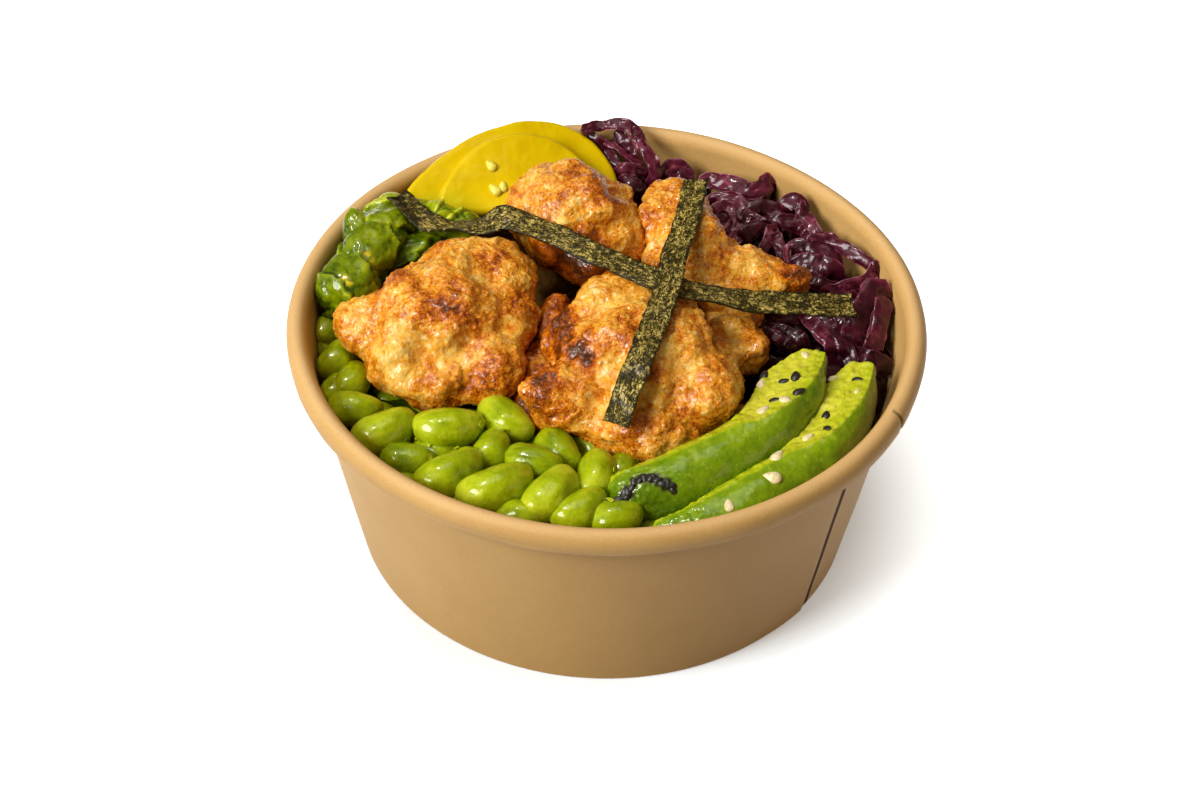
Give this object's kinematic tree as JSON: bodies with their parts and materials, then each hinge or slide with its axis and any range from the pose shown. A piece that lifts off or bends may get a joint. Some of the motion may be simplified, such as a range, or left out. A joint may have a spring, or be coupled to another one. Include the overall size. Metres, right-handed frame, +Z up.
{
  "type": "chicken karaage bowl",
  "caption": "Round kraft board takeaway bowl with a rolled rim, filled with fried chicken, avocado, green beans, red cabbage, cooked greens and pickled radish under crossed seaweed strips.",
  "frame": {"origin": "centre of the ring that the bowl stands on, at the level of the surface under it", "axes": "+Z up through the bowl's mouth; -Y towards the viewer, who sees the beans at the front left and the avocado at the front right; +X to the viewer's right"},
  "size_m": [0.1496, 0.1496, 0.0761],
  "materials": {
    "kraft_board": "uncoated, matt",
    "fried_crust": "crisp, slightly oily",
    "avocado": "moist",
    "pickled_radish": "wet, smooth",
    "green_bean": "moist, smooth",
    "cooked_greens": "wet",
    "red_cabbage": "wet, smooth",
    "seaweed": "dry, fibrous",
    "filling": "matt"
  },
  "bodies": {
    "root": {"bowl_wall": "kraft_board", "bowl_base": "kraft_board", "chicken_left": "fried_crust", "chicken_front": "fried_crust", "chicken_back": "fried_crust", "chicken_right": "fried_crust", "chicken_small": "fried_crust", "chicken_low": "fried_crust", "avocado_inner": "avocado", "avocado_outer": "avocado", "pickle_back": "pickled_radish", "pickle_front": "pickled_radish", "greens": "cooked_greens", "red_cabbage": "red_cabbage", "edamame": "green_bean", "bed": "filling", "nori_long": "seaweed", "nori_short": "seaweed"}
  },
  "joints": []
}
